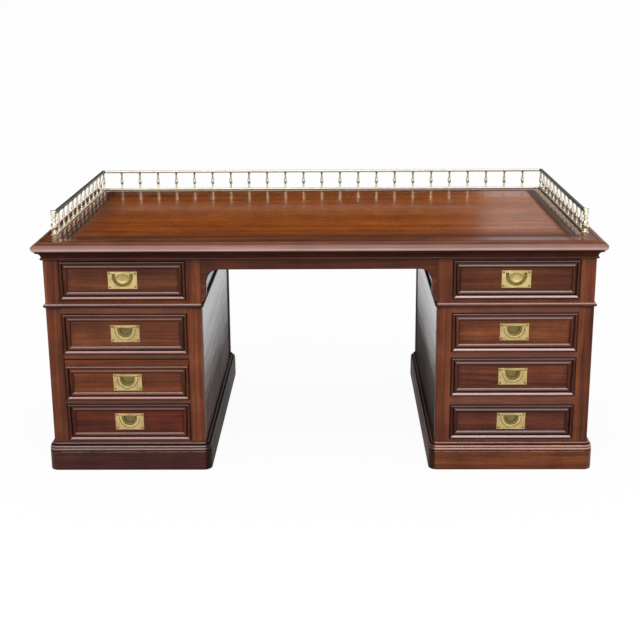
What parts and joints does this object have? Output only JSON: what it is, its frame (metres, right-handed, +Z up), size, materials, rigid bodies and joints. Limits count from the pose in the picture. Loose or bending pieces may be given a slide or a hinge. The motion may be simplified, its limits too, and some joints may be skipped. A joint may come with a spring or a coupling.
{
  "type": "partners desk",
  "caption": "Double-pedestal kneehole writing desk with moulded drawers, flush bail handles, rear cupboards, a shaped apron and a low turned brass gallery round the top.",
  "frame": {"origin": "centre of the footprint, on the floor under the plinths", "axes": "+X along the length to the sitter's right, +Y to the rear, +Z up; the drawers face -Y"},
  "size_m": [1.83, 1.067, 0.858],
  "materials": {
    "top_mahogany": "french polish",
    "carcase_mahogany": "polish",
    "front_mahogany": "polish",
    "lining_oak": "bare wood",
    "handle_brass": "polished",
    "gallery_brass": "polished"
  },
  "bodies": {
    "carcase": {"top_panel": "top_mahogany", "top_border": "top_mahogany", "cornice_moulding": "carcase_mahogany", "gallery_foot_rail": "gallery_brass", "gallery_top_rail": "gallery_brass", "gallery_balusters": "gallery_brass", "gallery_posts": "gallery_brass", "frieze_walls": "carcase_mahogany", "frieze_frame": "carcase_mahogany", "rear_frieze_fronts": "front_mahogany", "kneehole_apron": "carcase_mahogany", "left_pedestal_frame": "carcase_mahogany", "right_pedestal_frame": "carcase_mahogany", "left_pedestal_sides": "carcase_mahogany", "right_pedestal_sides": "carcase_mahogany", "left_pedestal_boards": "lining_oak", "right_pedestal_boards": "lining_oak", "left_plinth": "carcase_mahogany", "right_plinth": "carcase_mahogany", "pedestal_astragals": "carcase_mahogany", "drawer_runners": "lining_oak", "door_hinges": "handle_brass"},
    "left_drawer_1": {"left_drawer_1_front": "front_mahogany", "left_drawer_1_box": "lining_oak", "left_drawer_1_handle": "handle_brass"},
    "left_bail_1": {"left_drawer_1_bail": "handle_brass"},
    "left_drawer_2": {"left_drawer_2_front": "front_mahogany", "left_drawer_2_box": "lining_oak", "left_drawer_2_handle": "handle_brass"},
    "left_bail_2": {"left_drawer_2_bail": "handle_brass"},
    "left_drawer_3": {"left_drawer_3_front": "front_mahogany", "left_drawer_3_box": "lining_oak", "left_drawer_3_handle": "handle_brass"},
    "left_bail_3": {"left_drawer_3_bail": "handle_brass"},
    "left_drawer_4": {"left_drawer_4_front": "front_mahogany", "left_drawer_4_box": "lining_oak", "left_drawer_4_handle": "handle_brass"},
    "left_bail_4": {"left_drawer_4_bail": "handle_brass"},
    "left_door": {"left_door_frame": "carcase_mahogany", "left_door_panel": "front_mahogany", "left_door_furniture": "handle_brass"},
    "right_drawer_1": {"right_drawer_1_front": "front_mahogany", "right_drawer_1_box": "lining_oak", "right_drawer_1_handle": "handle_brass"},
    "right_bail_1": {"right_drawer_1_bail": "handle_brass"},
    "right_drawer_2": {"right_drawer_2_front": "front_mahogany", "right_drawer_2_box": "lining_oak", "right_drawer_2_handle": "handle_brass"},
    "right_bail_2": {"right_drawer_2_bail": "handle_brass"},
    "right_drawer_3": {"right_drawer_3_front": "front_mahogany", "right_drawer_3_box": "lining_oak", "right_drawer_3_handle": "handle_brass"},
    "right_bail_3": {"right_drawer_3_bail": "handle_brass"},
    "right_drawer_4": {"right_drawer_4_front": "front_mahogany", "right_drawer_4_box": "lining_oak", "right_drawer_4_handle": "handle_brass"},
    "right_bail_4": {"right_drawer_4_bail": "handle_brass"},
    "right_door": {"right_door_frame": "carcase_mahogany", "right_door_panel": "front_mahogany", "right_door_furniture": "handle_brass"}
  },
  "joints": [
    {"name": "left_drawer_1_slide", "type": "slide", "parent": "carcase", "child": "left_drawer_1", "axis": [0, -1, 0], "range_m": [0, 0.4]},
    {"name": "left_bail_1_pivot", "type": "hinge", "parent": "left_drawer_1", "child": "left_bail_1", "pos_m": [-0.6325, -0.4957, 0.6632], "axis": [-1, 0, 0], "range_deg": [0, 95]},
    {"name": "left_drawer_2_slide", "type": "slide", "parent": "carcase", "child": "left_drawer_2", "axis": [0, -1, 0], "range_m": [0, 0.4]},
    {"name": "left_bail_2_pivot", "type": "hinge", "parent": "left_drawer_2", "child": "left_bail_2", "pos_m": [-0.6325, -0.4957, 0.4842], "axis": [-1, 0, 0], "range_deg": [0, 95]},
    {"name": "left_drawer_3_slide", "type": "slide", "parent": "carcase", "child": "left_drawer_3", "axis": [0, -1, 0], "range_m": [0, 0.4]},
    {"name": "left_bail_3_pivot", "type": "hinge", "parent": "left_drawer_3", "child": "left_bail_3", "pos_m": [-0.6325, -0.4957, 0.3172], "axis": [-1, 0, 0], "range_deg": [0, 95]},
    {"name": "left_drawer_4_slide", "type": "slide", "parent": "carcase", "child": "left_drawer_4", "axis": [0, -1, 0], "range_m": [0, 0.4]},
    {"name": "left_bail_4_pivot", "type": "hinge", "parent": "left_drawer_4", "child": "left_bail_4", "pos_m": [-0.6325, -0.4957, 0.1802], "axis": [-1, 0, 0], "range_deg": [0, 95]},
    {"name": "left_door_hinge", "type": "hinge", "parent": "carcase", "child": "left_door", "pos_m": [-0.83525, 0.5078, 0.318], "axis": [0, 0, 1], "range_deg": [0, 105]},
    {"name": "right_drawer_1_slide", "type": "slide", "parent": "carcase", "child": "right_drawer_1", "axis": [0, -1, 0], "range_m": [0, 0.4]},
    {"name": "right_bail_1_pivot", "type": "hinge", "parent": "right_drawer_1", "child": "right_bail_1", "pos_m": [0.6325, -0.4957, 0.6632], "axis": [-1, 0, 0], "range_deg": [0, 95]},
    {"name": "right_drawer_2_slide", "type": "slide", "parent": "carcase", "child": "right_drawer_2", "axis": [0, -1, 0], "range_m": [0, 0.4]},
    {"name": "right_bail_2_pivot", "type": "hinge", "parent": "right_drawer_2", "child": "right_bail_2", "pos_m": [0.6325, -0.4957, 0.48687], "axis": [-1, 0, 0], "range_deg": [0, 95]},
    {"name": "right_drawer_3_slide", "type": "slide", "parent": "carcase", "child": "right_drawer_3", "axis": [0, -1, 0], "range_m": [0, 0.4]},
    {"name": "right_bail_3_pivot", "type": "hinge", "parent": "right_drawer_3", "child": "right_bail_3", "pos_m": [0.6325, -0.4957, 0.3352], "axis": [-1, 0, 0], "range_deg": [0, 95]},
    {"name": "right_drawer_4_slide", "type": "slide", "parent": "carcase", "child": "right_drawer_4", "axis": [0, -1, 0], "range_m": [0, 0.4]},
    {"name": "right_bail_4_pivot", "type": "hinge", "parent": "right_drawer_4", "child": "right_bail_4", "pos_m": [0.6325, -0.4957, 0.17953], "axis": [-1, 0, 0], "range_deg": [0, 95]},
    {"name": "right_door_hinge", "type": "hinge", "parent": "carcase", "child": "right_door", "pos_m": [0.83525, 0.5078, 0.318], "axis": [0, 0, -1], "range_deg": [0, 105]}
  ]
}
